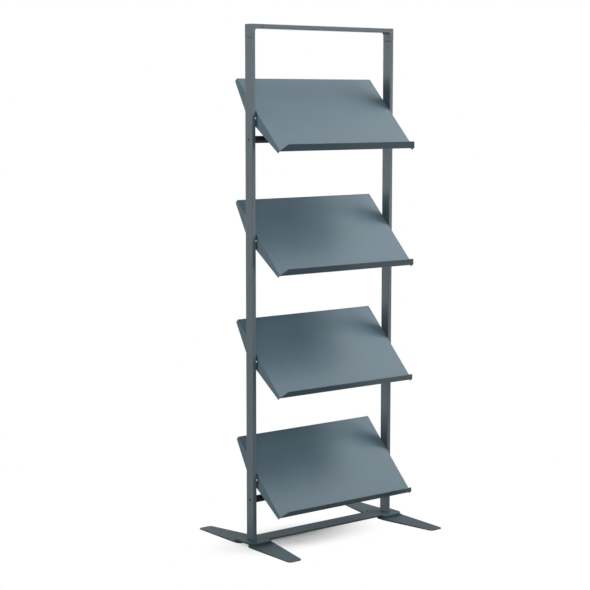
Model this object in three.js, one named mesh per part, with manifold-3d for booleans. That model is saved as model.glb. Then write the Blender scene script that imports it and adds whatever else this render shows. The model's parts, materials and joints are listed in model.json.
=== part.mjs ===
// Free-standing periodical display rack: a slim tube frame on two flat feet, with four sloping
// sheet-metal shelves that tilt about a screw in each post.
// Millimetres, +Z up, +X to the viewer's right, front at -Y, origin on the floor under the frame.

import * as THREE from 'three';
import { mergeVertices } from 'three/addons/utils/BufferGeometryUtils.js';
import Module from 'manifold-3d';

const wasm = await Module();
wasm.setup();

// Frame of rectangular tube
const FRAME_HEIGHT = 1792;
const TUBE_WIDTH = 15;
const TUBE_DEPTH = 40;
const TUBE_WALL = 1.5;
const TUBE_EDGE_RADIUS = 2;
const CORNER_LEG = 45;
const CORNER_FILLET = 10;
const SPIGOT_LENGTH = 25;
const SPIGOT_CLEARANCE = 0.3;
const SEAM_GAP = 0.3;

// Shelves, each one folded sheet. Lengths along the panel are measured from the tilt axis
const SHELF_COUNT = 4;
const TOP_AXIS_DROP = 290;
const BOTTOM_AXIS_HEIGHT = 254;
const SHELF_WIDTH = 600;
const SHELF_SIDE_GAP = 0.5;
const SHELF_TILT = 45;
const SHEET = 1.5;
const BEND_RADIUS = 2;
const PANEL_BACK = 142;
const PANEL_FRONT = 202.5;
const PANEL_ABOVE_AXIS = 14;
const LIP_HEIGHT = 35.5;
const LIP_END_TAPER = 21;
const LIP_CORNER_RADIUS = 6;
const FLANGE_BACK_DEPTH = 12.8;
const FLANGE_FRONT_DEPTH = 11;
const FLANGE_APEX_DEPTH = 49.2;
const FLANGE_APEX_BEHIND_AXIS = 5;
const FLANGE_APEX_RADIUS = 40;
const FLANGE_HOLE_DIAMETER = 6;
const FLANGE_HOLE_FORWARD = 30.8;
const FLANGE_HOLE_BELOW_PANEL = 18.6;

// Shelf screws: one on the tilt axis and one below it in an arc slot, both into a nut plate
const TILT_RANGE = 45;
const LOCK_RADIUS = 24;
const SHELF_SCREW_LENGTH = 13;
const SCREW_CLEARANCE = 0.5;
const PIVOT_CLEARANCE = 0.3;
const THREAD_CLEARANCE = 0.3;
const SEAT_GAP = 0.3;
const NUT_PLATE_THICKNESS = 4;
const NUT_PLATE_WIDTH = 22;
const NUT_PLATE_MARGIN = 12;

// Round stiffening rails under the top and the bottom shelf
const RAIL_SHELVES = { upper: 0, lower: 3 };
const RAIL_BELOW_AXIS = 97;
const RAIL_DIAMETER = 25;
const RAIL_WALL = 2;
const RAIL_PLUG = 28;
const RAIL_SCREW_DIAMETER = 4;
const RAIL_SCREW_HEAD = 7;
const RAIL_SCREW_HEAD_HEIGHT = 4;
const RAIL_SCREW_SOCKET = 3;
const RAIL_SCREW_LENGTH = 24;
const ACCESS_HOLE = 8;

// Base: one cut plate with a cross strip, lying on a raised seat of each of four tapered arms
const ARM_THICKNESS = 10;
const ARM_EDGE_THICKNESS = 6.8;
const ARM_TIP_THICKNESS = 3;
const ARM_SEAT_INSET = 4;
const ARM_REACH = 270;
const ARM_START = 18;
const ARM_OUTWARD = 42;
const ARM_INWARD = 54;
const ARM_TIP_WIDTH = 55;
const ARM_TIP_RADIUS = 15;
const ARM_ROOT_RADIUS = 28;
const PLATE_THICKNESS = 6;
const PLATE_HALF_DEPTH = 55;
const PLATE_OUTWARD = 42;
const PLATE_INWARD = 48;
const PLATE_CORNER_RADIUS = 28;
const PLATE_INNER_RADIUS = 7;
const STRIP_HALF_WIDTH = 35;
const PLATE_SKIN = 1;
const ARM_SCREW_SPACING = 44;
const ARM_SCREW_FROM_START = 20;

// Posts stand on the plate and are drawn down by screws into a plug
const POST_SCREW_LENGTH = 26;
const POST_SCREW_SPACING = 18;
const PLUG_HEIGHT = 30;

// Screws of the shelves, arms and posts, which share one thread
const SCREW_DIAMETER = 6;
const SCREW_SOCKET = 4;
const SCREW_TIP = 0.8;
const BUTTON_HEAD = 10.5;
const BUTTON_HEAD_HEIGHT = 3.3;
const SUNK_HEAD = 12;
const SUNK_HEAD_HEIGHT = 3.3;
const SUNK_HEAD_RIM = 0.4;

// Facets in a full turn
const SCREW_SIDES = 12;
const HOLE_SIDES = 12;
const RAIL_SIDES = 20;
const ARC_STEPS = 2;

// Places that follow from the sizes above
const POST_X = SHELF_WIDTH / 2 + SHELF_SIDE_GAP + TUBE_WIDTH / 2;
const POST_INNER_X = POST_X - TUBE_WIDTH / 2;
const POST_BOTTOM = ARM_THICKNESS + PLATE_THICKNESS;
const POST_TOP = FRAME_HEIGHT - CORNER_LEG;
const TOP_BAR_HALF = POST_X + TUBE_WIDTH / 2 - CORNER_LEG;
const FLANGE_INNER_X = SHELF_WIDTH / 2 - SHEET;
const SIDES = { left: -1, right: 1 };
const ENDS = { front: -1, back: 1 };
const SHELF_PITCH = (FRAME_HEIGHT - TOP_AXIS_DROP - BOTTOM_AXIS_HEIGHT) / (SHELF_COUNT - 1);
const axisHeight = (shelf) => FRAME_HEIGHT - TOP_AXIS_DROP - shelf * SHELF_PITCH;
const railHeight = (shelf) => axisHeight(shelf) - RAIL_BELOW_AXIS;
const button = {
  diameter: SCREW_DIAMETER, head: BUTTON_HEAD, headHeight: BUTTON_HEAD_HEIGHT, socket: SCREW_SOCKET,
};
const SHELF_SCREW = { ...button, length: SHELF_SCREW_LENGTH };
const POST_SCREW = { ...button, length: POST_SCREW_LENGTH };
const ARM_SCREW = {
  diameter: SCREW_DIAMETER,
  head: SUNK_HEAD,
  headHeight: SUNK_HEAD_HEIGHT,
  socket: SCREW_SOCKET,
  length: ARM_THICKNESS + PLATE_THICKNESS - 2 * PLATE_SKIN,
};
const RAIL_SCREW = {
  diameter: RAIL_SCREW_DIAMETER,
  head: RAIL_SCREW_HEAD,
  headHeight: RAIL_SCREW_HEAD_HEIGHT,
  socket: RAIL_SCREW_SOCKET,
  length: RAIL_SCREW_LENGTH,
};
const CUT_MARGIN = 1;
const JOIN = 0.2;

// Finishes
const slatePaint = { color: 0x6b7880, roughness: 0.45, metalness: 0.1 };
const shelfPaint = { color: 0x74848d, roughness: 0.45, metalness: 0.1 };
const darkPaint = { color: 0x2c3338, roughness: 0.5, metalness: 0.1 };
const zinc = { color: 0xb4b8ba, roughness: 0.35, metalness: 0.9 };
const blackSteel = { color: 0x26292b, roughness: 0.45, metalness: 0.6 };

// Axis maps: an outline drawn in the first two axes is extruded along the third
const axes = (u, v, w) => new THREE.Matrix4().makeBasis(
  new THREE.Vector3(...u), new THREE.Vector3(...v), new THREE.Vector3(...w));
const ALONG_X = axes([0, 1, 0], [0, 0, 1], [1, 0, 0]);
const ALONG_Y = axes([0, 0, 1], [1, 0, 0], [0, 1, 0]);
const ALONG_Z = axes([1, 0, 0], [0, 1, 0], [0, 0, 1]);

// A closed three.js geometry as a solid that can be joined and cut
function solidOf(geometry) {
  const bare = geometry.clone();
  bare.deleteAttribute('normal');
  bare.deleteAttribute('uv');
  const merged = mergeVertices(bare, 1e-4);
  return new wasm.Manifold(new wasm.Mesh({
    numProp: 3,
    vertProperties: new Float32Array(merged.attributes.position.array),
    triVerts: new Uint32Array(merged.index.array),
  }));
}

// A solid as a flat-shaded three.js geometry
function geometryOf(solid) {
  const mesh = solid.getMesh();
  const geometry = new THREE.BufferGeometry();
  geometry.setAttribute('position', new THREE.BufferAttribute(new Float32Array(mesh.vertProperties), 3));
  geometry.setIndex(new THREE.BufferAttribute(new Uint32Array(mesh.triVerts), 1));
  const flat = geometry.toNonIndexed();
  flat.computeVertexNormals();
  return flat;
}

// An outline through corners [u, v, radius], with each rounded corner as an arc
function outline(corners, Kind = THREE.Shape) {
  const path = new Kind();
  const point = (i) => new THREE.Vector2(...corners[(i + corners.length) % corners.length].slice(0, 2));
  corners.forEach(([u, v, radius = 0], i) => {
    const here = new THREE.Vector2(u, v);
    if (radius === 0) {
      if (i === 0) path.moveTo(u, v);
      else path.lineTo(u, v);
      return;
    }
    const back = point(i - 1).sub(here).normalize();
    const ahead = point(i + 1).sub(here).normalize();
    const half = Math.acos(THREE.MathUtils.clamp(back.dot(ahead), -1, 1)) / 2;
    const centre = back.clone().add(ahead).normalize().multiplyScalar(radius / Math.sin(half)).add(here);
    const start = back.clone().multiplyScalar(radius / Math.tan(half)).add(here).sub(centre);
    const end = ahead.clone().multiplyScalar(radius / Math.tan(half)).add(here).sub(centre);
    const clockwise = back.cross(ahead) > 0;
    if (i === 0) path.moveTo(centre.x + start.x, centre.y + start.y);
    path.absarc(centre.x, centre.y, radius, start.angle(), end.angle(), clockwise);
  });
  path.closePath();
  return path;
}

// A prism of an outline, centred along its extrusion unless a start is given
function prism(shape, length, map, start = -length / 2) {
  const settings = { depth: length, bevelEnabled: false, curveSegments: ARC_STEPS };
  const geometry = new THREE.ExtrudeGeometry(shape, settings);
  geometry.translate(0, 0, start);
  return solidOf(geometry.applyMatrix4(map));
}

function block(width, depth, height, x, y, z) {
  return solidOf(new THREE.BoxGeometry(width, depth, height).translate(x, y, z));
}

// A round bar along a map's third axis
function bar(diameter, length, map, u, v, w) {
  const turn = new THREE.CylinderGeometry(diameter / 2, diameter / 2, length, HOLE_SIDES);
  return solidOf(turn.rotateX(Math.PI / 2).translate(u, v, w).applyMatrix4(map));
}

function rectangle(width, height, radius, Kind = THREE.Shape) {
  const [u, v] = [width / 2, height / 2];
  return outline([[-u, -v, radius], [u, -v, radius], [u, v, radius], [-u, v, radius]], Kind);
}

// A length of the frame tube along a map's third axis, width and depth in its first two
function tube(width, depth, length, map, start) {
  const section = rectangle(width, depth, TUBE_EDGE_RADIUS);
  const bore = TUBE_EDGE_RADIUS - TUBE_WALL;
  section.holes.push(rectangle(width - 2 * TUBE_WALL, depth - 2 * TUBE_WALL, bore, THREE.Path));
  return prism(section, length, map, start);
}

// Screw along +X with its head's bearing face at x = 0 and its shank towards +X
function headedScrew({ diameter, head, headHeight, socket, length }) {
  const profile = [[0, -headHeight], [head * 0.375, -headHeight], [head / 2, -headHeight * 0.45],
    [head / 2, 0], [diameter / 2, 0], [diameter / 2, length - SCREW_TIP],
    [diameter / 2 - SCREW_TIP, length], [0, length]];
  return socketed(lathe(profile), socket, -headHeight, headHeight * 0.6);
}

// Countersunk screw along +X with the top of its head at x = 0
function countersunkScrew({ diameter, head, headHeight, socket, length }) {
  const profile = [[0, 0], [head / 2, 0], [head / 2, SUNK_HEAD_RIM], [diameter / 2, headHeight],
    [diameter / 2, length - SCREW_TIP], [diameter / 2 - SCREW_TIP, length], [0, length]];
  return socketed(lathe(profile), socket, 0, headHeight * 0.6);
}

function lathe(profile, sides = SCREW_SIDES) {
  const points = profile.map(([radius, along]) => new THREE.Vector2(radius, along));
  return solidOf(new THREE.LatheGeometry(points, sides).rotateZ(-Math.PI / 2));
}

// The hexagon socket in a screw's head
function socketed(screw, acrossFlats, top, depth) {
  const radius = acrossFlats / Math.sqrt(3);
  const hexagon = new THREE.CylinderGeometry(radius, radius, 2 * depth, 6);
  return screw.subtract(solidOf(hexagon.rotateZ(Math.PI / 2).translate(top, 0, 0)));
}

// Left post with its screw holes: shelf and rail screws in the inner wall, access holes in the outer
function post() {
  let solid = tube(TUBE_WIDTH, TUBE_DEPTH, POST_TOP - POST_BOTTOM, ALONG_Z, POST_BOTTOM);
  const innerWall = (TUBE_WIDTH - TUBE_WALL) / 2;
  const drill = (diameter, wall, z) => {
    solid = solid.subtract(bar(diameter, 2 * TUBE_WALL, ALONG_X, 0, z, wall));
  };
  for (let shelf = 0; shelf < SHELF_COUNT; shelf += 1) {
    drill(SHELF_SCREW.diameter + 2 * SCREW_CLEARANCE, innerWall, axisHeight(shelf));
    drill(SHELF_SCREW.diameter + 2 * SCREW_CLEARANCE, innerWall, axisHeight(shelf) - LOCK_RADIUS);
  }
  for (const shelf of Object.values(RAIL_SHELVES)) {
    drill(RAIL_SCREW.diameter + 2 * SCREW_CLEARANCE, innerWall, railHeight(shelf));
    drill(ACCESS_HOLE, -innerWall, railHeight(shelf));
  }
  return solid;
}

// Left corner connector: an L of the tube's section, filleted inside, with a spigot into each tube
function corner() {
  const inset = TUBE_EDGE_RADIUS;
  const reach = CORNER_LEG + 2 * inset;
  const ell = outline([[-reach, inset], [-inset, inset], [-inset, reach], [inset - TUBE_WIDTH, reach],
    [inset - TUBE_WIDTH, TUBE_WIDTH - inset, CORNER_FILLET + inset], [-reach, TUBE_WIDTH - inset]]);
  const geometry = new THREE.ExtrudeGeometry(ell, {
    depth: TUBE_DEPTH - 2 * inset,
    bevelSize: inset,
    bevelThickness: inset,
    bevelSegments: 2,
    curveSegments: ARC_STEPS,
  });
  geometry.translate(0, 0, inset - TUBE_DEPTH / 2);
  const trim = 2 * reach;
  const end = CORNER_LEG - SEAM_GAP;
  const across = TUBE_WIDTH - 2 * TUBE_WALL - 2 * SPIGOT_CLEARANCE;
  const deep = TUBE_DEPTH - 2 * TUBE_WALL - 2 * SPIGOT_CLEARANCE;
  const spigot = SPIGOT_LENGTH + TUBE_WIDTH;
  const middle = end + SPIGOT_LENGTH - spigot / 2;
  return solidOf(geometry.applyMatrix4(ALONG_Y))
    .subtract(block(trim, trim, trim, 0, 0, -end - trim / 2))
    .subtract(block(trim, trim, trim, end + trim / 2, 0, 0))
    .add(block(across, deep, spigot, TUBE_WIDTH / 2, 0, -middle))
    .add(block(spigot, deep, across, middle, 0, -TUBE_WIDTH / 2));
}

// Shelf lying flat, with the tilt axis along X through the origin and the panel's front at -Y
function shelf() {
  const half = SHELF_WIDTH / 2;
  const top = PANEL_ABOVE_AXIS;
  const under = top - SHEET;
  const lipTop = under + LIP_HEIGHT;
  const innerBend = BEND_RADIUS - SHEET;
  const apex = top - FLANGE_APEX_DEPTH;
  const low = apex - CUT_MARGIN;
  const front = -PANEL_FRONT + BEND_RADIUS;
  const back = PANEL_BACK - BEND_RADIUS;

  // Panel and side flanges, then the flanges' lower edge
  const channel = prism(outline([[low, -half], [top, -half, BEND_RADIUS], [top, half, BEND_RADIUS],
    [low, half], [low, half - SHEET], [under, half - SHEET, innerBend], [under, SHEET - half, innerBend],
    [low, SHEET - half]]), back - front, ALONG_Y, front);
  const side = prism(outline([[-PANEL_FRONT, top + CUT_MARGIN], [-PANEL_FRONT, top - FLANGE_FRONT_DEPTH],
    [FLANGE_APEX_BEHIND_AXIS, apex, FLANGE_APEX_RADIUS], [PANEL_BACK, top - FLANGE_BACK_DEPTH],
    [PANEL_BACK, top + CUT_MARGIN]]), SHELF_WIDTH + 2 * CUT_MARGIN, ALONG_X);

  // Front lip, cut back at both ends towards its top
  const lip = prism(outline([[front + JOIN, under], [-PANEL_FRONT, under, BEND_RADIUS],
    [-PANEL_FRONT, lipTop], [SHEET - PANEL_FRONT, lipTop], [SHEET - PANEL_FRONT, top, innerBend],
    [front + JOIN, top]]), SHELF_WIDTH, ALONG_X);
  const lipEnds = prism(outline([[under - CUT_MARGIN, -half], [top + BEND_RADIUS, -half],
    [lipTop, LIP_END_TAPER - half, LIP_CORNER_RADIUS], [lipTop, half - LIP_END_TAPER, LIP_CORNER_RADIUS],
    [top + BEND_RADIUS, half], [under - CUT_MARGIN, half]]), 4 * BEND_RADIUS, ALONG_Y,
    -PANEL_FRONT - BEND_RADIUS);

  // Back edge turned down between the flanges
  const turned = prism(outline([[back - JOIN, top], [PANEL_BACK, top, BEND_RADIUS],
    [PANEL_BACK, top - FLANGE_BACK_DEPTH], [PANEL_BACK - SHEET, top - FLANGE_BACK_DEPTH],
    [PANEL_BACK - SHEET, under, innerBend], [back - JOIN, under]]), SHELF_WIDTH - 2 * BEND_RADIUS, ALONG_X);

  const across = SHELF_WIDTH + 2 * CUT_MARGIN;
  const pivotHole = SHELF_SCREW.diameter + 2 * PIVOT_CLEARANCE;
  const holeHeight = top - FLANGE_HOLE_BELOW_PANEL;
  return channel.intersect(side).add(lip.intersect(lipEnds)).add(turned)
    .subtract(bar(pivotHole, across, ALONG_X, 0, 0, 0))
    .subtract(bar(FLANGE_HOLE_DIAMETER, across, ALONG_X, -FLANGE_HOLE_FORWARD, holeHeight, 0))
    .subtract(prism(lockSlot(), across, ALONG_X));
}

// Arc slot for the lock screw, which is straight below the axis at the rest tilt
function lockSlot() {
  const half = SHELF_SCREW.diameter / 2 + SCREW_CLEARANCE;
  const from = THREE.MathUtils.degToRad(270 - SHELF_TILT);
  const to = THREE.MathUtils.degToRad(270 - SHELF_TILT + TILT_RANGE);
  const at = (angle) => [LOCK_RADIUS * Math.cos(angle), LOCK_RADIUS * Math.sin(angle)];
  const slot = new THREE.Shape();
  slot.absarc(0, 0, LOCK_RADIUS + half, from, to, false);
  slot.absarc(...at(to), half, to, to + Math.PI, false);
  slot.absarc(0, 0, LOCK_RADIUS - half, to, from, true);
  slot.absarc(...at(from), half, from + Math.PI, from + 2 * Math.PI, false);
  return slot;
}

// Nut plate for a pivot screw and the lock screw below it, with the axis at the origin
function nutPlate() {
  const height = LOCK_RADIUS + 2 * NUT_PLATE_MARGIN;
  const hole = SHELF_SCREW.diameter + 2 * THREAD_CLEARANCE;
  return block(NUT_PLATE_THICKNESS, NUT_PLATE_WIDTH, height, 0, 0, -LOCK_RADIUS / 2)
    .subtract(bar(hole, 2 * NUT_PLATE_THICKNESS, ALONG_X, 0, 0, 0))
    .subtract(bar(hole, 2 * NUT_PLATE_THICKNESS, ALONG_X, 0, -LOCK_RADIUS, 0));
}

// Round rail along X with a threaded plug welded in each end
function rail() {
  const half = POST_INNER_X - SEAT_GAP;
  const outer = RAIL_DIAMETER / 2;
  const bore = outer - RAIL_WALL;
  const thread = RAIL_SCREW.diameter / 2 + THREAD_CLEARANCE;
  const plug = half - RAIL_PLUG;
  return lathe([[thread, -half], [outer, -half], [outer, half], [thread, half], [thread, plug], [bore, plug],
    [bore, -plug], [thread, -plug], [thread, -half]], RAIL_SIDES);
}

// Base plate: a pad under each post and the strip between them
function basePlate() {
  const outer = POST_X + PLATE_OUTWARD;
  const inner = POST_X - PLATE_INWARD;
  const [deep, strip] = [PLATE_HALF_DEPTH, STRIP_HALF_WIDTH];
  const [round, small] = [PLATE_CORNER_RADIUS, PLATE_INNER_RADIUS];
  let solid = prism(outline([[-outer, -deep, round], [-inner, -deep, small], [-inner, -strip, small],
    [inner, -strip, small], [inner, -deep, small], [outer, -deep, round], [outer, deep, round],
    [inner, deep, small], [inner, strip, small], [-inner, strip, small], [-inner, deep, small],
    [-outer, deep, round]]), PLATE_THICKNESS, ALONG_Z, ARM_THICKNESS);
  const through = POST_SCREW.diameter + 2 * SCREW_CLEARANCE;
  const blind = ARM_SCREW.diameter + 2 * THREAD_CLEARANCE;
  for (const x of [-POST_X, POST_X]) {
    for (const y of [-POST_SCREW_SPACING / 2, POST_SCREW_SPACING / 2]) {
      solid = solid.subtract(bar(through, 4 * PLATE_THICKNESS, ALONG_Z, x, y, ARM_THICKNESS));
    }
  }
  for (const side of Object.values(SIDES)) {
    for (const end of Object.values(ENDS)) {
      for (const [x, y] of armScrewPlaces(side, end)) {
        solid = solid.subtract(bar(blind, 2 * (PLATE_THICKNESS - PLATE_SKIN), ALONG_Z, x, y, ARM_THICKNESS));
      }
    }
  }
  return solid;
}

function armScrewPlaces(side, end) {
  const middle = POST_X + (ARM_OUTWARD - ARM_INWARD) / 2;
  const y = end * (ARM_START + ARM_SCREW_FROM_START);
  return [-1, 1].map((row) => [side * (middle + row * ARM_SCREW_SPACING / 2), y]);
}

// Floor arm: straight outside edge, tapered inside edge and a top that falls to the rounded tip, with a
// seat under the plate
function arm(side, end) {
  const outer = POST_X + ARM_OUTWARD;
  const inner = POST_X - ARM_INWARD;
  const tip = outer - ARM_TIP_WIDTH;
  const corners = [[outer, ARM_START, ARM_ROOT_RADIUS], [outer, ARM_REACH, ARM_TIP_RADIUS],
    [tip, ARM_REACH, ARM_TIP_RADIUS], [inner, PLATE_HALF_DEPTH], [inner, ARM_START]];
  const shape = outline(corners.map(([x, y, radius]) => [side * x, end * y, radius]));
  const top = ARM_EDGE_THICKNESS;
  const beyond = ARM_REACH + (ARM_REACH - PLATE_HALF_DEPTH);
  const fall = prism(outline([[PLATE_HALF_DEPTH, top], [beyond, 2 * ARM_TIP_THICKNESS - top],
    [beyond, 2 * top], [PLATE_HALF_DEPTH, 2 * top]].map(([y, z]) => [end * y, z])), 4 * outer, ALONG_X);
  const inset = ARM_SEAT_INSET;
  const seatCorners = [[outer - inset, ARM_START + inset, ARM_ROOT_RADIUS - inset],
    [outer - inset, PLATE_HALF_DEPTH - inset], [inner + inset, PLATE_HALF_DEPTH - inset],
    [inner + inset, ARM_START + inset]];
  const seat = outline(seatCorners.map(([x, y, radius]) => [side * x, end * y, radius]));
  const seatBottom = ARM_TIP_THICKNESS / 2;
  const seatHeight = ARM_THICKNESS - SEAT_GAP - seatBottom;
  let solid = prism(shape, top, ALONG_Z, 0).subtract(fall).add(prism(seat, seatHeight, ALONG_Z, seatBottom));
  const { diameter, head, headHeight } = ARM_SCREW;
  const [wide, narrow] = [head / 2 + THREAD_CLEARANCE, diameter / 2 + THREAD_CLEARANCE];
  const sink = lathe([[0, -CUT_MARGIN], [wide, -CUT_MARGIN], [wide, SEAT_GAP + SUNK_HEAD_RIM],
    [narrow, headHeight + SEAT_GAP], [narrow, 2 * ARM_THICKNESS], [0, 2 * ARM_THICKNESS]], HOLE_SIDES);
  for (const [x, y] of armScrewPlaces(side, end)) {
    solid = solid.subtract(sink.rotate([0, -90, 0]).translate([x, y, 0]));
  }
  return solid;
}

// Plug in the bottom of a post, threaded for the post screws
function postPlug() {
  const across = TUBE_WIDTH - 2 * TUBE_WALL - 2 * SPIGOT_CLEARANCE;
  const deep = TUBE_DEPTH - 2 * TUBE_WALL - 2 * SPIGOT_CLEARANCE;
  const hole = POST_SCREW.diameter + 2 * THREAD_CLEARANCE;
  return block(across, deep, PLUG_HEIGHT, 0, 0, POST_BOTTOM + SEAT_GAP + PLUG_HEIGHT / 2)
    .subtract(bar(hole, 4 * PLUG_HEIGHT, ALONG_Z, 0, -POST_SCREW_SPACING / 2, POST_BOTTOM))
    .subtract(bar(hole, 4 * PLUG_HEIGHT, ALONG_Z, 0, POST_SCREW_SPACING / 2, POST_BOTTOM));
}

const group = new THREE.Group();
group.name = 'periodical_display_rack';

// Adds one piece; pieces on the right are the left ones turned half round
function add(name, geometry, paint, x, y, z, turn = new THREE.Euler()) {
  const mesh = new THREE.Mesh(geometry, new THREE.MeshStandardMaterial(paint));
  mesh.name = name;
  mesh.position.set(x, y, z);
  mesh.rotation.copy(turn);
  group.add(mesh);
}
const halfTurn = (side) => new THREE.Euler(0, 0, side > 0 ? Math.PI : 0);
const upward = new THREE.Euler(0, -Math.PI / 2, 0);

const postGeometry = geometryOf(post());
const cornerGeometry = geometryOf(corner());
const shelfGeometry = geometryOf(shelf());
const shelfScrewGeometry = geometryOf(headedScrew(SHELF_SCREW));
const nutPlateGeometry = geometryOf(nutPlate());
const railGeometry = geometryOf(rail());
const railScrewGeometry = geometryOf(headedScrew(RAIL_SCREW));
const armScrewGeometry = geometryOf(countersunkScrew(ARM_SCREW));
const postScrewGeometry = geometryOf(headedScrew(POST_SCREW));
const postPlugGeometry = geometryOf(postPlug());

// Frame
for (const [name, side] of Object.entries(SIDES)) {
  add(`${name}_post`, postGeometry, slatePaint, side * POST_X, 0, 0, halfTurn(side));
  const edge = side * (POST_X + TUBE_WIDTH / 2);
  add(`${name}_corner`, cornerGeometry, slatePaint, edge, 0, FRAME_HEIGHT, halfTurn(side));
  add(`${name}_post_plug`, postPlugGeometry, zinc, side * POST_X, 0, 0);
}
const topBar = tube(TUBE_DEPTH, TUBE_WIDTH, 2 * TOP_BAR_HALF, ALONG_X, -TOP_BAR_HALF);
add('top_bar', geometryOf(topBar), slatePaint, 0, 0, FRAME_HEIGHT - TUBE_WIDTH / 2);

// Rails and their screws
for (const [name, index] of Object.entries(RAIL_SHELVES)) {
  add(`${name}_rail`, railGeometry, darkPaint, 0, 0, railHeight(index));
  for (const [end, side] of Object.entries(SIDES)) {
    const x = side * (POST_INNER_X + TUBE_WALL + SEAT_GAP);
    add(`${name}_rail_${end}_screw`, railScrewGeometry, blackSteel, x, 0, railHeight(index), halfTurn(side));
  }
}

// Shelves with their screws and nut plates
for (let index = 0; index < SHELF_COUNT; index += 1) {
  const name = `shelf_${index + 1}`;
  const z = axisHeight(index);
  const tilt = new THREE.Euler(THREE.MathUtils.degToRad(SHELF_TILT), 0, 0);
  add(name, shelfGeometry, shelfPaint, 0, 0, z, tilt);
  for (const [end, side] of Object.entries(SIDES)) {
    const seat = side * (FLANGE_INNER_X - SEAT_GAP);
    const plate = side * (POST_INNER_X + TUBE_WALL + SEAT_GAP + NUT_PLATE_THICKNESS / 2);
    add(`${name}_${end}_pivot_screw`, shelfScrewGeometry, blackSteel, seat, 0, z, halfTurn(-side));
    const lockZ = z - LOCK_RADIUS;
    add(`${name}_${end}_lock_screw`, shelfScrewGeometry, blackSteel, seat, 0, lockZ, halfTurn(-side));
    add(`${name}_${end}_nut_plate`, nutPlateGeometry, zinc, plate, 0, z);
  }
}

// Base
add('base_plate', geometryOf(basePlate()), slatePaint, 0, 0, 0);
for (const [sideName, side] of Object.entries(SIDES)) {
  for (const [endName, end] of Object.entries(ENDS)) {
    const name = `${endName}_${sideName}_arm`;
    add(name, geometryOf(arm(side, end)), slatePaint, 0, 0, 0);
    armScrewPlaces(side, end).forEach(([screwX, screwY], row) => {
      add(`${name}_screw_${row + 1}`, armScrewGeometry, zinc, screwX, screwY, SEAT_GAP, upward);
    });
    const x = side * POST_X;
    const y = end * POST_SCREW_SPACING / 2;
    const z = ARM_THICKNESS - SEAT_GAP;
    add(`${endName}_${sideName}_post_screw`, postScrewGeometry, zinc, x, y, z, upward);
  }
}

export default group;
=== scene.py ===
"""Looks of the periodical display rack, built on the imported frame. Metres, +Z up, front at -Y."""
import json
import math

import bmesh
import bpy
from mathutils import Matrix, Vector


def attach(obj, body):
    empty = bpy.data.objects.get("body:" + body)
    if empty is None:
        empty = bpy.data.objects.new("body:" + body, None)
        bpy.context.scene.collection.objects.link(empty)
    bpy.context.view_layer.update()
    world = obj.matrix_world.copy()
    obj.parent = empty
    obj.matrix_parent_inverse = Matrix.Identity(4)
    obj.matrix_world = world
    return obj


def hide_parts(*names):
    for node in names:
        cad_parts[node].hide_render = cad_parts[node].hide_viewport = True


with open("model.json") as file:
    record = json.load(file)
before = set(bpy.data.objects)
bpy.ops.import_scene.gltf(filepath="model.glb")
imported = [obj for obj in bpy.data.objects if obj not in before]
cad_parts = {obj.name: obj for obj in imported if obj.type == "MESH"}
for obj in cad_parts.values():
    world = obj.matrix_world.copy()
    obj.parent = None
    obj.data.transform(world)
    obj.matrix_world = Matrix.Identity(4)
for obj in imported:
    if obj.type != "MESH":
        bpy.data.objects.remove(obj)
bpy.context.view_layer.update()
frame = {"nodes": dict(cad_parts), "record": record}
MM = 0.001

# Sizes of the frame, in millimetres
HEIGHT = 1792
TUBE_W, TUBE_D, TUBE_WALL, TUBE_R = 15, 40, 1.5, 2
POST_X = 308
POST_LOW, POST_HIGH = 16, 1747
CORNER_LEG, CORNER_FILLET, CORNER_EDGE = 45, 10, 1.5
SEAM, SEAM_BEVEL = 0.3, 1.1
DRILL_CLEARANCE, DRILL_REACH = 1, 2

# Sizes of a shelf, lying flat with its tilt axis at the origin
SHELF_W, SHEET, BEND = 600, 1.5, 2
BACK, FRONT, TOP = 142, 202.5, 14
LIP, LIP_TAPER, LIP_R = 35.5, 21, 6
APEX_DEPTH, APEX_BEHIND, APEX_R = 49.2, 5, 40
BACK_DEPTH, FRONT_DEPTH, FLANGE_END_R = 12.8, 11, 1.5
HOLE_D, HOLE_FORWARD, HOLE_BELOW = 6, 30.8, 18.6
LOCK_R, PIVOT_HOLE, SLOT_W = 24, 6.6, 7
AXES = [1502, 1086, 670, 254]
TILT = TILT_RANGE = math.radians(45)

# Button-head screws. The head is straight for a share of its height, and then domed
SCREW_D, SCREW_L, SCREW_TIP = 6, 13, 0.8
HEAD_D, HEAD_H, HEAD_STRAIGHT, SOCKET, SOCKET_DEPTH = 10.5, 3.3, 0.35, 4, 2
DOME_ANGLES = (0, 12, 24, 36, 48, 58, 66)

# Rails and base
RAIL_D, RAIL_HALF = 25, 300.2
RAILS = {"upper_rail": 1405, "lower_rail": 157}
RAIL_SCREW_D, RAIL_BORE_D, RAIL_CHAMFER, ACCESS_D = 4, 4.6, 0.8, 8
ARM_T, ARM_EDGE_T, ARM_TIP_T = 10, 6.8, 3
ARM_REACH, ARM_START, ARM_OUT, ARM_IN, ARM_TIP = 270, 18, 42, 54, 55
ARM_TIP_R, ARM_ROOT_R, ARM_EASE = 15, 28, 1
SEAT_INSET, SEAT_GAP = 4, 0.3
ARM_SCREW_SPACING, ARM_SCREW_FROM_START = 44, 20
SUNK_D, SUNK_SLACK, SUNK_BELOW, SUNK_RIM, SUNK_DEPTH = 12, 0.3, 1, 0.7, 3.6
PLATE_T, PLATE_OUT, PLATE_IN, PLATE_HALF_D, STRIP_HALF = 6, 42, 48, 55, 35
PLATE_R, PLATE_SMALL_R, PLATE_EASE = 28, 7, 0.8
SIDES = {"left": -1, "right": 1}
ENDS = {"front": -1, "back": 1}

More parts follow.
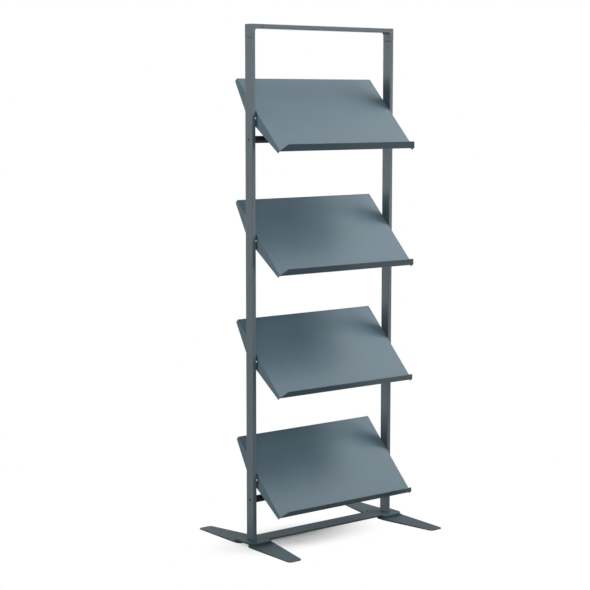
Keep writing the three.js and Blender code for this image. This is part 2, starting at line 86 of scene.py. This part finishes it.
# Facets in an arc or a circle, angles that stay sharp, in degrees, and tolerances, in millimetres
TUBE_ARC, CORNER_ARC, FLANGE_ARC, PLATE_ARC, ARM_ARC = 6, 12, 16, 10, 12
SLOT_STEPS, SLOT_END_STEPS = 16, 12
DRILL_STEPS, RAIL_STEPS, FLOOR_STEPS = 40, 64, 96
SHARP, SHEET_SHARP, NORMAL_WEIGHT = 35, 25, 100
SAME_POINT, NEAR, WALL_SLACK = 0.001, 0.01, 0.1

# Finishes: noise scales per metre, and how far colour and gloss vary
CLOUD_SCALE, CLOUD_DETAIL, CLOUD_SPAN = 6, 3, (0.3, 0.7)
CLOUD_SHARES, GLOSS_VARY = (0.96, 1.04), 0.05
PEEL_SCALE, PEEL_DETAIL, PEEL_STRENGTH, PEEL_HEIGHT = 900, 2, 0.03, 0.0004
MOTTLE_SCALE, MOTTLE_DETAIL, MOTTLE_SHARES = 220, 4, (0.85, 1.1)
# Material slots of a tube: painted shade inside its bore, and painted shade on its eased ends, in the joints
BORE_SHADE_SLOT, JOINT_SHADE_SLOT = 1, 2

# Camera, as fitted to the photograph: focal length and image side in pixels, angles in degrees
SENSOR, FOCAL, IMAGE_SIDE = 36, 1579.14, 590
CAMERA_AT, CAMERA_DOWN, CAMERA_TURN = (-3.48511, -4.33307, 1.54194), 7.08, -37.86

# Stage, in metres. A fade is where it starts and stops, in spans of the shadow, and the least share of white
FLOOR_RADIUS, SHADE_CENTRE, SHADE_SPAN = 6, (-0.14, -0.04, 0), (0.38, 0.18, 1)
SHADE_FADE, MIRROR_FADE = (0.1, 1.1, 0.15), (1, 2.2, 0)
FLOOR_SEEN, FLOOR_MIRRORED, FLOOR_BOUNCE = (1, 1, 1), (0.3, 0.3, 0.3), (0.04, 0.04, 0.04)
WHITE, WORLD_FILL = (1, 1, 1), (0.02, 0.02, 0.02)

# Round soft boxes about the rack: elevation, azimuth from the front towards the right, radiance
LAMP_AIM, LAMP_DISTANCE, LAMP_SIZE = Vector((0, 0, 0.9)), 9, 4.4
LAMPS = [(43, 66, 10.0), (57, 86, 3.5), (33, 0, 7.0), (2, 39, 2.9), (7, 322, 4.4), (8, 240, 9.4), (50, 235, 2.8),
         (6, 165, 5.6)]


# Outlines

def rounded(corners, steps=8):
    """Points of a closed outline through corners (u, v) or (u, v, radius), with each radius as an arc."""
    points = []
    for i, corner in enumerate(corners):
        here = Vector(corner[:2])
        radius = corner[2] if len(corner) > 2 else 0
        if radius == 0:
            points.append(here)
            continue
        back = (Vector(corners[i - 1][:2]) - here).normalized()
        ahead = (Vector(corners[(i + 1) % len(corners)][:2]) - here).normalized()
        half = math.acos(max(-1, min(1, back.dot(ahead)))) / 2
        centre = here + (back + ahead).normalized() * radius / math.sin(half)
        a = here + back * radius / math.tan(half) - centre
        b = here + ahead * radius / math.tan(half) - centre
        turn = math.atan2(a.x * b.y - a.y * b.x, a.dot(b))
        points += [centre + Matrix.Rotation(turn * k / steps, 2) @ a for k in range(steps + 1)]
    return [p for i, p in enumerate(points) if (p - points[i - 1]).length > SAME_POINT]


def circle(u, v, diameter, steps=32):
    return [Vector((u + diameter / 2 * math.cos(2 * math.pi * k / steps),
                    v + diameter / 2 * math.sin(2 * math.pi * k / steps))) for k in range(steps)]


def ray(angle):
    return Vector((math.cos(angle), math.sin(angle)))


def arc_slot(radius, width, start, stop):
    """Outline of a slot along an arc about the origin, between two angles."""
    half, turn = width / 2, stop - start
    outer = [ray(start + turn * k / SLOT_STEPS) * (radius + half) for k in range(SLOT_STEPS + 1)]
    inner = [ray(stop - turn * k / SLOT_STEPS) * (radius - half) for k in range(SLOT_STEPS + 1)]
    far, near = [[ray(end) * radius + ray(first + math.pi * k / SLOT_END_STEPS) * half
                  for k in range(1, SLOT_END_STEPS)] for end, first in ((stop, stop), (start, start + math.pi))]
    return outer + far + inner + near


def place_x(u, v, w):
    return (w, u, v)


def place_y(u, v, w):
    return (u, w, v)


def place_z(u, v, w):
    return (u, v, w)


# Meshes

def new_object(name, bm, sharp=SHARP, cutters=()):
    """A mesh object of bm, in metres, less its cutters, with edges sharper than the angle kept sharp."""
    bmesh.ops.recalc_face_normals(bm, faces=bm.faces)
    mesh = bpy.data.meshes.new(name)
    bm.to_mesh(mesh)
    bm.free()
    obj = bpy.data.objects.new(name, mesh)
    bpy.context.scene.collection.objects.link(obj)
    if cutters:
        cut(obj, cutters)
    obj.data.transform(Matrix.Scale(MM, 4))
    obj.data.shade_smooth()
    obj.data.set_sharp_from_angle(angle=math.radians(sharp))
    true_normals(obj)
    return obj


def take_result(obj, modifier):
    """Puts what the modifier makes into the object's mesh, and removes the modifier."""
    result = bpy.data.meshes.new_from_object(obj.evaluated_get(bpy.context.evaluated_depsgraph_get()))
    obj.modifiers.remove(modifier)
    old, obj.data = obj.data, result
    bpy.data.meshes.remove(old)
    result.name = obj.name


def true_normals(obj):
    """Gives flat faces their own normals, so that the shading turns only along the rounded edges."""
    weigh = obj.modifiers.new("normals", "WEIGHTED_NORMAL")
    weigh.keep_sharp = True
    weigh.weight = NORMAL_WEIGHT
    take_result(obj, weigh)


def cut(obj, cutters):
    """Takes every cutter, a closed bmesh, out of the object's mesh."""
    joined = bmesh.new()
    for cutter in cutters:
        bmesh.ops.recalc_face_normals(cutter, faces=cutter.faces)
        part = bpy.data.meshes.new("cutter")
        cutter.to_mesh(part)
        cutter.free()
        joined.from_mesh(part)
        bpy.data.meshes.remove(part)
    mesh = bpy.data.meshes.new("cutters")
    joined.to_mesh(mesh)
    joined.free()
    tool = bpy.data.objects.new("cutters", mesh)
    bpy.context.scene.collection.objects.link(tool)
    boolean = obj.modifiers.new("cut", "BOOLEAN")
    boolean.operation = "DIFFERENCE"
    boolean.solver = "EXACT"
    boolean.use_self = True
    boolean.object = tool
    take_result(obj, boolean)
    bpy.data.objects.remove(tool)
    bpy.data.meshes.remove(mesh)


def prism(bm, outline, place, low, high, holes=()):
    """Adds the outline, less its holes, extruded from low to high, and returns its walls and its caps."""
    bottom, top, walls = [], [], []
    for ring in (outline, *holes):
        lower = [bm.verts.new(place(p[0], p[1], low)) for p in ring]
        upper = [bm.verts.new(place(p[0], p[1], high)) for p in ring]
        for k in range(len(ring)):
            n = (k + 1) % len(ring)
            walls.append(bm.faces.new((lower[k], lower[n], upper[n], upper[k])))
        bottom.append(lower)
        top.append(upper)
    caps = []
    for level in (bottom, top):
        if len(level) == 1:
            caps.append(bm.faces.new(level[0]))
        else:
            edges = [edge for ring in level for edge in ring_edges(bm, ring)]
            made = bmesh.ops.triangle_fill(bm, edges=edges, use_beauty=True)
            caps += [f for f in made["geom"] if isinstance(f, bmesh.types.BMFace)]
    return walls, caps


def ring_edges(bm, ring):
    return [bm.edges.get((ring[k], ring[(k + 1) % len(ring)])) for k in range(len(ring))]


def ring_solid(bm, place, stations):
    """Adds a closed tube through outlines of equal length, given as (outline, height), last to first."""
    rings = [[bm.verts.new(place(p[0], p[1], w)) for p in outline] for outline, w in stations]
    for i, ring in enumerate(rings):
        before = rings[i - 1]
        for k in range(len(ring)):
            n = (k + 1) % len(ring)
            bm.faces.new((before[k], before[n], ring[n], ring[k]))


def spin(bm, profile, steps=32):
    """Adds the surface that the profile (radius, along) makes when turned about X, and returns its rings."""
    rings = []
    for radius, along in profile:
        rings.append([bm.verts.new((along, radius * math.cos(2 * math.pi * k / steps),
                                    radius * math.sin(2 * math.pi * k / steps))) for k in range(steps)])
    for a, b in zip(rings, rings[1:]):
        for k in range(steps):
            n = (k + 1) % steps
            bm.faces.new((a[k], a[n], b[n], b[k]))
    return rings


def round_edges(bm, edges, width, steps=3):
    bmesh.ops.recalc_face_normals(bm, faces=bm.faces)
    bmesh.ops.bevel(bm, geom=list(edges), offset=width, offset_type="OFFSET", segments=steps,
                    profile=0.5, affect="EDGES", clamp_overlap=True)


def rim(caps):
    """The edges between the caps and the walls."""
    faces = set(caps)
    return {e for f in caps for e in f.edges if any(g not in faces for g in e.link_faces)}


def ease_end(bm, face, inward):
    """Chamfers the rim of an end face, by the length of the vector that points into the piece."""
    bmesh.ops.inset_region(bm, faces=[face], thickness=inward.length, use_even_offset=True)
    ring = {v for e in face.edges for f in e.link_faces if f is not face for v in f.verts}
    bmesh.ops.translate(bm, verts=list(ring - set(face.verts)), vec=inward)


def stand_for(obj, node, body="frame"):
    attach(obj, body)
    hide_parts(node)


# Materials

def node_material(name):
    material = bpy.data.materials.new(name)
    material.use_nodes = True
    tree = material.node_tree
    return material, tree, tree.nodes["Principled BSDF"]


def noise(tree, scale, detail):
    """A noise over the object's own coordinates."""
    place = tree.nodes.new("ShaderNodeTexCoord")
    node = tree.nodes.new("ShaderNodeTexNoise")
    node.inputs["Scale"].default_value = scale
    node.inputs["Detail"].default_value = detail
    tree.links.new(place.outputs["Object"], node.inputs["Vector"])
    return node.outputs["Fac"]


def tint(tree, factor, colour, shares, span=(0, 1)):
    """The colour, varied by the factor between two shares of itself."""
    node = tree.nodes.new("ShaderNodeValToRGB")
    for stop, share, position in zip(node.color_ramp.elements, shares, span):
        stop.position = position
        stop.color = (*[c * share for c in colour], 1)
    tree.links.new(factor, node.inputs["Fac"])
    return node.outputs["Color"]


def powder_coat(name, colour, roughness=0.38, specular=0.18):
    """Satin powder coat: fine orange peel, faint cloudiness in the colour and in the gloss."""
    material, tree, shader = node_material(name)
    cloud = noise(tree, CLOUD_SCALE, CLOUD_DETAIL)
    tree.links.new(tint(tree, cloud, colour, CLOUD_SHARES, CLOUD_SPAN), shader.inputs["Base Color"])
    gloss = tree.nodes.new("ShaderNodeMapRange")
    gloss.inputs["To Min"].default_value = roughness - GLOSS_VARY
    gloss.inputs["To Max"].default_value = roughness + GLOSS_VARY
    tree.links.new(cloud, gloss.inputs["Value"])
    tree.links.new(gloss.outputs["Result"], shader.inputs["Roughness"])
    bump = tree.nodes.new("ShaderNodeBump")
    bump.inputs["Strength"].default_value = PEEL_STRENGTH
    bump.inputs["Distance"].default_value = PEEL_HEIGHT
    tree.links.new(noise(tree, PEEL_SCALE, PEEL_DETAIL), bump.inputs["Height"])
    tree.links.new(bump.outputs["Normal"], shader.inputs["Normal"])
    shader.inputs["Specular IOR Level"].default_value = specular
    return material


def steel(name, colour, roughness):
    """Plated steel with a faint mottle."""
    material, tree, shader = node_material(name)
    mottle = noise(tree, MOTTLE_SCALE, MOTTLE_DETAIL)
    tree.links.new(tint(tree, mottle, colour, MOTTLE_SHARES), shader.inputs["Base Color"])
    shader.inputs["Metallic"].default_value = 1
    shader.inputs["Roughness"].default_value = roughness
    return material


FRAME_PAINT = powder_coat("frame_paint", (0.081, 0.109, 0.125), 0.29, 0.26)
SHELF_PAINT = powder_coat("shelf_paint", (0.089, 0.138, 0.17), 0.37, 0.105)
BASE_PAINT = powder_coat("base_paint", (0.047, 0.072, 0.084), 0.5, 0.06)
# The rails' own dark paint, which also serves as painted shade inside the tubes' bores
RAIL_PAINT_AND_BORE_SHADE = powder_coat("rail_paint", (0.025, 0.032, 0.036))
# Painted shade for the eased ends of the tubes, in the grooves of the joints
JOINT_SHADE_PAINT = powder_coat("painted_joint_shade", (0.045, 0.06, 0.069))
BLACK_STEEL = steel("black_steel", (0.05, 0.052, 0.055), 0.4)
ZINC_STEEL = steel("zinc_steel", (0.5, 0.52, 0.53), 0.35)


def paint(obj, *materials):
    obj.data.materials.clear()
    for material in materials:
        obj.data.materials.append(material)
    return obj


CAD_FINISH = {"frame_paint": FRAME_PAINT, "shelf_paint": SHELF_PAINT, "rail_paint": RAIL_PAINT_AND_BORE_SHADE,
              "black_steel": BLACK_STEEL, "zinc_steel": ZINC_STEEL}
for entry in frame["record"]["subparts"]:
    paint(frame["nodes"][entry["node"]], CAD_FINISH[entry["material_slot"]])


# Frame of rectangular tube

def section(width, depth, radius, u, v):
    """A rectangle with rounded corners, centred on (u, v)."""
    a, b = width / 2, depth / 2
    return rounded([(u - a, v - b, radius), (u + a, v - b, radius), (u + a, v + b, radius),
                    (u - a, v + b, radius)], TUBE_ARC)


def frame_tube(name, place, width, depth, u, v, low, high, cutters=()):
    """A length of tube, drilled by the cutters, with painted shade inside its bore and on its eased ends, which lie
    in the joints.
    """
    outer = section(width, depth, TUBE_R, u, v)
    eased = section(width - 2 * SEAM_BEVEL, depth - 2 * SEAM_BEVEL, TUBE_R - SEAM_BEVEL, u, v)
    bore = section(width - 2 * TUBE_WALL, depth - 2 * TUBE_WALL, TUBE_R - TUBE_WALL, u, v)
    bm = bmesh.new()
    ring_solid(bm, place, [(bore, low), (eased, low), (outer, low + SEAM_BEVEL), (outer, high - SEAM_BEVEL),
                           (eased, high), (bore, high)])
    tube = paint(new_object(name, bm, cutters=cutters), FRAME_PAINT, RAIL_PAINT_AND_BORE_SHADE, JOINT_SHADE_PAINT)
    first, second, along = [place(*unit).index(1) for unit in ((1, 0, 0), (0, 1, 0), (0, 0, 1))]
    hollow = TUBE_WALL - WALL_SLACK
    # Faces inside the bore get painted shade, and so do the eased ends in the joints
    for face in tube.data.polygons:
        at = face.center / MM
        if abs(at[first] - u) < width / 2 - hollow and abs(at[second] - v) < depth / 2 - hollow:
            face.material_index = BORE_SHADE_SLOT
        elif min(at[along] - low, high - at[along]) < SEAM_BEVEL:
            face.material_index = JOINT_SHADE_SLOT
    return tube


def drill(height, diameter, wall):
    """A cutter through a post's wall, along X."""
    bm = bmesh.new()
    prism(bm, circle(0, height, diameter, DRILL_STEPS), place_x, wall - DRILL_REACH, wall + DRILL_REACH)
    return bm


def leg_end(face, tip, side):
    """The direction into a corner's leg, if the face is that leg's end."""
    for inward in (Vector((0, 0, 1)), Vector((side, 0, 0))):
        if all(abs((v.co - tip).dot(inward)) < NEAR for v in face.verts):
            return inward
    return None


for side_name, side in SIDES.items():
    drills = []
    inner_wall = side * (POST_X - TUBE_W / 2 + TUBE_WALL / 2)
    outer_wall = side * (POST_X + TUBE_W / 2 - TUBE_WALL / 2)
    for axis in AXES:
        for height in (axis, axis - LOCK_R):
            drills.append(drill(height, SCREW_D + DRILL_CLEARANCE, inner_wall))
    for height in RAILS.values():
        drills.append(drill(height, RAIL_SCREW_D + DRILL_CLEARANCE, inner_wall))
        drills.append(drill(height, ACCESS_D, outer_wall))
    post = frame_tube(f"{side_name}_post_tube", place_z, TUBE_W, TUBE_D, side * POST_X, 0,
                      POST_LOW, POST_HIGH, drills)
    stand_for(post, f"{side_name}_post")

    # Corner connector: the tube's section bent to an L, with a filleted inside corner
    bm = bmesh.new()
    edge, end = side * (POST_X + TUBE_W / 2), CORNER_LEG - SEAM
    tip = Vector((edge - side * end, 0, HEIGHT - end))
    ell = [(0, -end), (0, 0, CORNER_EDGE), (end, 0), (end, -TUBE_W), (TUBE_W, -TUBE_W, CORNER_FILLET),
           (TUBE_W, -end)]
    corners = [(edge - side * c[0], HEIGHT + c[1], *c[2:]) for c in ell]
    walls, caps = prism(bm, rounded(corners, CORNER_ARC), place_y, -TUBE_D / 2, TUBE_D / 2)
    leg_ends = {f for f in walls if leg_end(f, tip, side) is not None}
    round_edges(bm, [e for e in rim(caps) if leg_ends.isdisjoint(e.link_faces)], TUBE_R, TUBE_ARC)
    # The rounding has given each leg's end more than four corners
    for face in [f for f in bm.faces if len(f.verts) > 4]:
        inward = leg_end(face, tip, side)
        if inward is not None:
            ease_end(bm, face, inward * SEAM_BEVEL)
    corner = new_object(f"{side_name}_corner_connector", bm)
    stand_for(paint(corner, FRAME_PAINT), f"{side_name}_corner")

bar_half = POST_X + TUBE_W / 2 - CORNER_LEG
top_bar = frame_tube("top_bar_tube", place_x, TUBE_D, TUBE_W, 0, HEIGHT - TUBE_W / 2, -bar_half, bar_half)
stand_for(top_bar, "top_bar")


# Round rails, bored for the screws at their ends

for name, height in RAILS.items():
    bore, eased, outer = [circle(0, height, diameter, RAIL_STEPS)
                          for diameter in (RAIL_BORE_D, RAIL_D - 2 * RAIL_CHAMFER, RAIL_D)]
    shoulder = RAIL_HALF - RAIL_CHAMFER
    bm = bmesh.new()
    ring_solid(bm, place_x, [(bore, -RAIL_HALF), (eased, -RAIL_HALF), (outer, -shoulder), (outer, shoulder),
                             (eased, RAIL_HALF), (bore, RAIL_HALF)])
    stand_for(paint(new_object(f"{name}_tube", bm), RAIL_PAINT_AND_BORE_SHADE), name)


# Shelves: one folded sheet each, drawn flat and then tilted about the axis

def sheet_island(bm, corners, place, low, high, holes=(), steps=8):
    prism(bm, rounded(corners, steps), place, low, high, holes)


def shelf_mesh(bm):
    half, under, inner = SHELF_W / 2, TOP - SHEET, BEND - SHEET
    front, back, fold = BEND - FRONT, BACK - BEND, TOP - BEND
    # Panel with its side bends
    sheet_island(bm, [(-half, fold), (-half, TOP, BEND), (half, TOP, BEND), (half, fold),
                      (half - SHEET, fold), (half - SHEET, under, inner), (SHEET - half, under, inner),
                      (SHEET - half, fold)], place_y, front, back)
    # Side flanges, deepest just behind the axis
    apex = TOP - APEX_DEPTH
    slope_back = (TOP - BACK_DEPTH - apex) / (BACK - APEX_BEHIND)
    slope_front = (TOP - FRONT_DEPTH - apex) / (-FRONT - APEX_BEHIND)
    flange = [(back, fold), (back, apex + slope_back * (back - APEX_BEHIND), FLANGE_END_R),
              (APEX_BEHIND, apex, APEX_R), (front, apex + slope_front * (front - APEX_BEHIND), FLANGE_END_R),
              (front, fold)]
    rest = math.radians(270) - TILT
    holes = [circle(0, 0, PIVOT_HOLE), circle(-HOLE_FORWARD, TOP - HOLE_BELOW, HOLE_D),
             arc_slot(LOCK_R, SLOT_W, rest, rest + TILT_RANGE)]
    for low in (-half, half - SHEET):
        sheet_island(bm, flange, place_x, low, low + SHEET, holes, FLANGE_ARC)
    # Front bend and lip, cut back at both ends towards its top
    lip_foot = under + BEND
    sheet_island(bm, [(front, under), (-FRONT, under, BEND), (-FRONT, lip_foot), (SHEET - FRONT, lip_foot),
                      (SHEET - FRONT, TOP, inner), (front, TOP)], place_x, -half, half)
    lip_top = under + LIP
    sheet_island(bm, [(-half, lip_foot), (-half, TOP + BEND), (LIP_TAPER - half, lip_top, LIP_R),
                      (half - LIP_TAPER, lip_top, LIP_R), (half, TOP + BEND), (half, lip_foot)],
                 place_y, -FRONT, SHEET - FRONT)
    # Back edge turned down between the flanges
    sheet_island(bm, [(back, TOP), (BACK, TOP, BEND), (BACK, TOP - BACK_DEPTH), (BACK - SHEET, TOP - BACK_DEPTH),
                      (BACK - SHEET, under, inner), (back, under)], place_x, BEND - half, half - BEND)


for index, axis in enumerate(AXES, 1):
    bm = bmesh.new()
    shelf_mesh(bm)
    bm.transform(Matrix.Translation((0, 0, axis)) @ Matrix.Rotation(TILT, 4, "X"))
    shelf = new_object(f"shelf_{index}_sheet", bm, SHEET_SHARP)
    stand_for(paint(shelf, SHELF_PAINT), f"shelf_{index}", f"shelf_{index}_body")


# Button-head screws that hold the shelves

def button_screw(bm):
    """A screw along +X with its head's bearing face at 0 and a hexagon socket in its domed head."""
    dome = [(HEAD_D / 2 * math.cos(a), -HEAD_H * (HEAD_STRAIGHT + (1 - HEAD_STRAIGHT) * math.sin(a)))
            for a in [math.radians(d) for d in DOME_ANGLES]]
    profile = list(reversed(dome)) + [(HEAD_D / 2, 0), (SCREW_D / 2, 0), (SCREW_D / 2, SCREW_L - SCREW_TIP),
                                      (SCREW_D / 2 - SCREW_TIP, SCREW_L)]
    rings = spin(bm, profile)
    bm.faces.new(rings[-1])
    top = dome[-1][1]
    hexagon = circle(0, 0, 2 * SOCKET / math.sqrt(3), 6)
    mouth = [bm.verts.new((top, p.x, p.y)) for p in hexagon]
    bottom = [bm.verts.new((top + SOCKET_DEPTH, p.x, p.y)) for p in hexagon]
    for k in range(len(hexagon)):
        n = (k + 1) % len(hexagon)
        bm.faces.new((mouth[k], mouth[n], bottom[n], bottom[k]))
    bm.faces.new(bottom)
    bmesh.ops.triangle_fill(bm, edges=ring_edges(bm, rings[0]) + ring_edges(bm, mouth), use_beauty=True)


for index, axis in enumerate(AXES, 1):
    for side_name, side in SIDES.items():
        for job, height in (("pivot", axis), ("lock", axis - LOCK_R)):
            bm = bmesh.new()
            button_screw(bm)
            seat = side * (SHELF_W / 2 - SHEET - SEAT_GAP)
            turn = Matrix.Rotation(0 if side > 0 else math.pi, 4, "Z")
            bm.transform(Matrix.Translation((seat, 0, height)) @ turn)
            node = f"shelf_{index}_{side_name}_{job}_screw"
            screw = new_object(f"{node}_button_head", bm)
            stand_for(paint(screw, BLACK_STEEL), node)


# Base: a cut plate on four tapered arms

pad_outer, pad_inner = POST_X + PLATE_OUT, POST_X - PLATE_IN
deep, strip = PLATE_HALF_D, STRIP_HALF
bm = bmesh.new()
plate = [(-pad_outer, -deep, PLATE_R), (-pad_inner, -deep, PLATE_SMALL_R), (-pad_inner, -strip, PLATE_SMALL_R),
         (pad_inner, -strip, PLATE_SMALL_R), (pad_inner, -deep, PLATE_SMALL_R), (pad_outer, -deep, PLATE_R),
         (pad_outer, deep, PLATE_R), (pad_inner, deep, PLATE_SMALL_R), (pad_inner, strip, PLATE_SMALL_R),
         (-pad_inner, strip, PLATE_SMALL_R), (-pad_inner, deep, PLATE_SMALL_R), (-pad_outer, deep, PLATE_R)]
_, caps = prism(bm, rounded(plate, PLATE_ARC), place_z, ARM_T, ARM_T + PLATE_T)
round_edges(bm, rim(caps), PLATE_EASE)
stand_for(paint(new_object("base_plate_cut", bm), BASE_PAINT), "base_plate")


def arm_top(y):
    """Height of an arm's top, which falls from the plate's edge to the tip."""
    share = max(0, abs(y) - PLATE_HALF_D) / (ARM_REACH - PLATE_HALF_D)
    return ARM_EDGE_T - share * (ARM_EDGE_T - ARM_TIP_T)


def countersink(x, y):
    """A cutter for a screw that comes up through an arm."""
    wide, narrow = SUNK_D / 2 + SUNK_SLACK, SCREW_D / 2 + SUNK_SLACK
    bm = bmesh.new()
    rings = spin(bm, [(wide, -SUNK_BELOW), (wide, SUNK_RIM), (narrow, SUNK_DEPTH), (narrow, 2 * ARM_T)])
    bm.faces.new(rings[0])
    bm.faces.new(rings[-1])
    bm.transform(Matrix.Translation((x, y, 0)) @ Matrix.Rotation(-math.pi / 2, 4, "Y"))
    return bm


def flipped(corners, side, end):
    """The outline of an arm at the given side and end, from the corners of the back right one."""
    return rounded([(side * c[0], end * c[1], *c[2:]) for c in corners], ARM_ARC)


for side_name, side in SIDES.items():
    for end_name, end in ENDS.items():
        outer, inner = POST_X + ARM_OUT, POST_X - ARM_IN
        arm = [(outer, ARM_START, ARM_ROOT_R), (outer, PLATE_HALF_D), (outer, ARM_REACH, ARM_TIP_R),
               (outer - ARM_TIP, ARM_REACH, ARM_TIP_R), (inner, PLATE_HALF_D), (inner, ARM_START)]
        bm = bmesh.new()
        _, caps = prism(bm, flipped(arm, side, end), place_z, 0, ARM_EDGE_T)
        edges = rim(caps)
        upper = [v for v in bm.verts if v.co.z > 0]
        bmesh.ops.connect_verts(bm, verts=[v for v in upper if abs(abs(v.co.y) - PLATE_HALF_D) < NEAR])
        for vert in upper:
            vert.co.z = arm_top(vert.co.y)
        round_edges(bm, edges, ARM_EASE)
        near, far = ARM_START + SEAT_INSET, PLATE_HALF_D - SEAT_INSET
        seat = [(outer - SEAT_INSET, near, ARM_ROOT_R - SEAT_INSET), (outer - SEAT_INSET, far),
                (inner + SEAT_INSET, far), (inner + SEAT_INSET, near)]
        prism(bm, flipped(seat, side, end), place_z, ARM_TIP_T / 2, ARM_T - SEAT_GAP)
        middle = POST_X + (ARM_OUT - ARM_IN) / 2
        sinks = [countersink(side * (middle + row * ARM_SCREW_SPACING / 2), end * (ARM_START + ARM_SCREW_FROM_START))
                 for row in (-1, 1)]
        node = f"{end_name}_{side_name}_arm"
        stand_for(paint(new_object(f"{node}_cut", bm, cutters=sinks), BASE_PAINT), node)


camera = bpy.data.objects.new("camera", bpy.data.cameras.new("camera"))
bpy.context.scene.collection.objects.link(camera)
camera.data.sensor_width = SENSOR
camera.data.lens = FOCAL / IMAGE_SIDE * SENSOR
camera.location = CAMERA_AT
camera.rotation_euler = (math.radians(90 - CAMERA_DOWN), 0, math.radians(CAMERA_TURN))
bpy.context.scene.camera = camera


# Floor and light. Camera, glossy and transmission rays see a pale stage, and the floor keeps the object's shadow

def either(tree, first, second):
    """The larger of two factors."""
    node = tree.nodes.new("ShaderNodeMath")
    node.operation = "MAXIMUM"
    tree.links.new(first, node.inputs[0])
    tree.links.new(second, node.inputs[1])
    return node.outputs["Value"]


def ray_kinds(tree):
    """Two factors: one for camera rays, and one for glossy or transmission rays."""
    rays = tree.nodes.new("ShaderNodeLightPath")
    return rays.outputs["Is Camera Ray"], either(tree, rays.outputs["Is Glossy Ray"],
                                                 rays.outputs["Is Transmission Ray"])


def mixed(tree, factor, first, second):
    mix = tree.nodes.new("ShaderNodeMixShader")
    tree.links.new(factor, mix.inputs["Fac"])
    tree.links.new(first.outputs[0], mix.inputs[1])
    tree.links.new(second.outputs[0], mix.inputs[2])
    return mix


def shade(tree, kind, colour):
    node = tree.nodes.new(kind)
    node.inputs["Color"].default_value = (*colour, 1)
    return node


def vector_math(tree, operation, vector, other=(0, 0, 0)):
    node = tree.nodes.new("ShaderNodeVectorMath")
    node.operation = operation
    tree.links.new(vector, node.inputs[0])
    node.inputs[1].default_value = other
    return node


floor_mesh = bpy.data.meshes.new("floor")
rim_points = circle(0, 0, 2 * FLOOR_RADIUS, FLOOR_STEPS)
floor_mesh.from_pydata([(p.x, p.y, 0) for p in rim_points], [], [list(range(len(rim_points)))])
floor = bpy.data.objects.new("floor", floor_mesh)
bpy.context.scene.collection.objects.link(floor)
floor_material = bpy.data.materials.new("floor")
floor_material.use_nodes = True
tree = floor_material.node_tree
tree.nodes.clear()
camera_ray, mirror_ray = ray_kinds(tree)
white = shade(tree, "ShaderNodeEmission", WHITE)
place = tree.nodes.new("ShaderNodeTexCoord")
offset = vector_math(tree, "SUBTRACT", place.outputs["Object"], SHADE_CENTRE)
scaled = vector_math(tree, "DIVIDE", offset.outputs["Vector"], SHADE_SPAN)
span = vector_math(tree, "LENGTH", scaled.outputs["Vector"])
shares = []
for start, stop, least in (SHADE_FADE, MIRROR_FADE):
    fade = tree.nodes.new("ShaderNodeMapRange")
    fade.interpolation_type = "SMOOTHSTEP"
    fade.inputs["From Min"].default_value = start
    fade.inputs["From Max"].default_value = stop
    fade.inputs["To Min"].default_value = least
    tree.links.new(span.outputs["Value"], fade.inputs["Value"])
    shares.append(fade.outputs["Result"])
lit, mirrored = [mixed(tree, share, shade(tree, "ShaderNodeBsdfDiffuse", colour), white)
                 for share, colour in zip(shares, (FLOOR_SEEN, FLOOR_MIRRORED))]
plain = mixed(tree, mirror_ray, shade(tree, "ShaderNodeBsdfDiffuse", FLOOR_BOUNCE), mirrored)
surface = mixed(tree, camera_ray, plain, lit)
tree.links.new(surface.outputs[0], tree.nodes.new("ShaderNodeOutputMaterial").inputs["Surface"])
paint(floor, floor_material)

world = bpy.data.worlds.new("world")
bpy.context.scene.world = world
world.use_nodes = True
tree = world.node_tree
tree.nodes.clear()
backdrop = mixed(tree, either(tree, *ray_kinds(tree)), shade(tree, "ShaderNodeBackground", WORLD_FILL),
                 shade(tree, "ShaderNodeBackground", WHITE))
tree.links.new(backdrop.outputs[0], tree.nodes.new("ShaderNodeOutputWorld").inputs["Surface"])

for elevation, azimuth, radiance in LAMPS:
    lamp = bpy.data.lights.new("soft_box", "AREA")
    lamp.shape = "DISK"
    lamp.size = LAMP_SIZE
    # Watts: the radiance, times pi, times the disk's area
    lamp.energy = radiance * math.pi * math.pi * (LAMP_SIZE / 2) ** 2
    e, a = math.radians(elevation), math.radians(azimuth)
    towards = Vector((math.sin(a) * math.cos(e), -math.cos(a) * math.cos(e), math.sin(e)))
    box = bpy.data.objects.new("soft_box", lamp)
    box.location = LAMP_AIM + towards * LAMP_DISTANCE
    box.rotation_euler = towards.to_track_quat("Z", "Y").to_euler()
    bpy.context.scene.collection.objects.link(box)

bpy.context.scene.view_settings.view_transform = "Standard"
